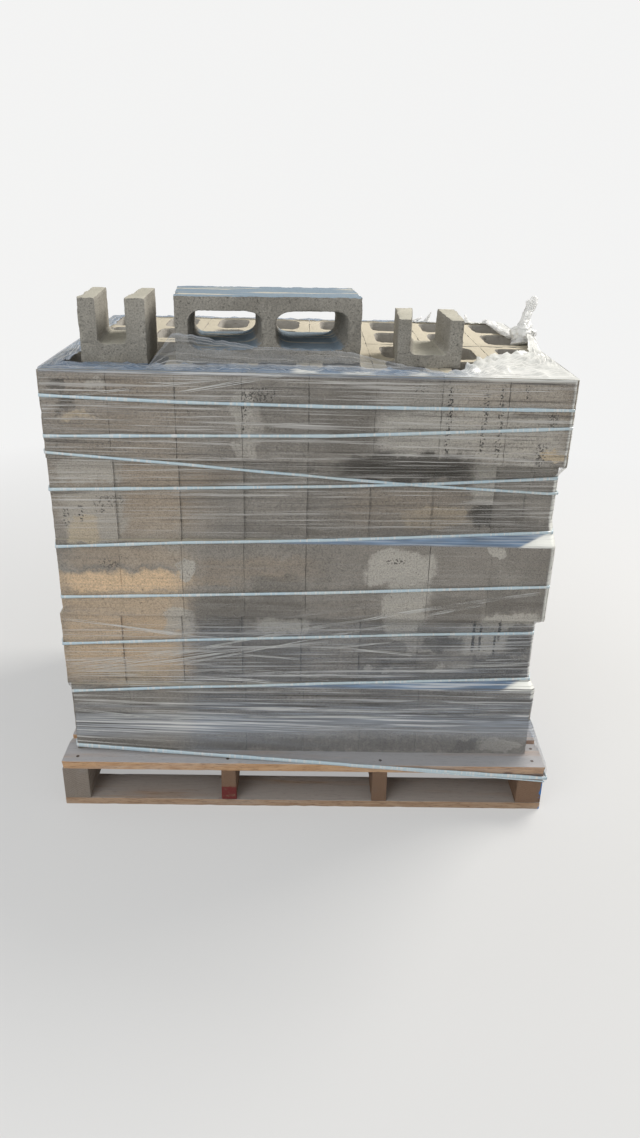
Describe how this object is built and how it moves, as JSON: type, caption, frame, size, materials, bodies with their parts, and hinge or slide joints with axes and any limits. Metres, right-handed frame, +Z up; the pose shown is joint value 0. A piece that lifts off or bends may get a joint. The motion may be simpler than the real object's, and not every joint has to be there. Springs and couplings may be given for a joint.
{
  "type": "pallet of concrete blocks",
  "caption": "Wooden pallet stacked with hollow concrete blocks in clear stretch film, with a loose block and two cut U-shaped blocks on top.",
  "frame": {"origin": "middle of the pallet's underside", "axes": "+X to the right along the boards as seen from the front, +Y to the back along the runners, +Z up"},
  "size_m": [1.2091, 0.9196, 1.22],
  "materials": {
    "concrete": "rough",
    "pallet_wood": "sawn",
    "film": "clear stretch film"
  },
  "bodies": {
    "root": {"stringer_outer_left": "pallet_wood", "stringer_inner_left": "pallet_wood", "stringer_inner_right": "pallet_wood", "stringer_outer_right": "pallet_wood", "top_board_1": "pallet_wood", "top_board_2": "pallet_wood", "top_board_3": "pallet_wood", "top_board_4": "pallet_wood", "top_board_5": "pallet_wood", "top_board_6": "pallet_wood", "top_board_7": "pallet_wood", "top_board_8": "pallet_wood", "bottom_board_1": "pallet_wood", "bottom_board_2": "pallet_wood", "bottom_board_3": "pallet_wood", "bottom_board_4": "pallet_wood", "bottom_board_5": "pallet_wood", "course_1": "concrete", "course_2": "concrete", "course_3": "concrete", "course_4": "concrete", "course_5": "concrete", "loose_block": "concrete", "u_block_left": "concrete", "u_block_right": "concrete", "stretch_wrap": "film"}
  },
  "joints": []
}
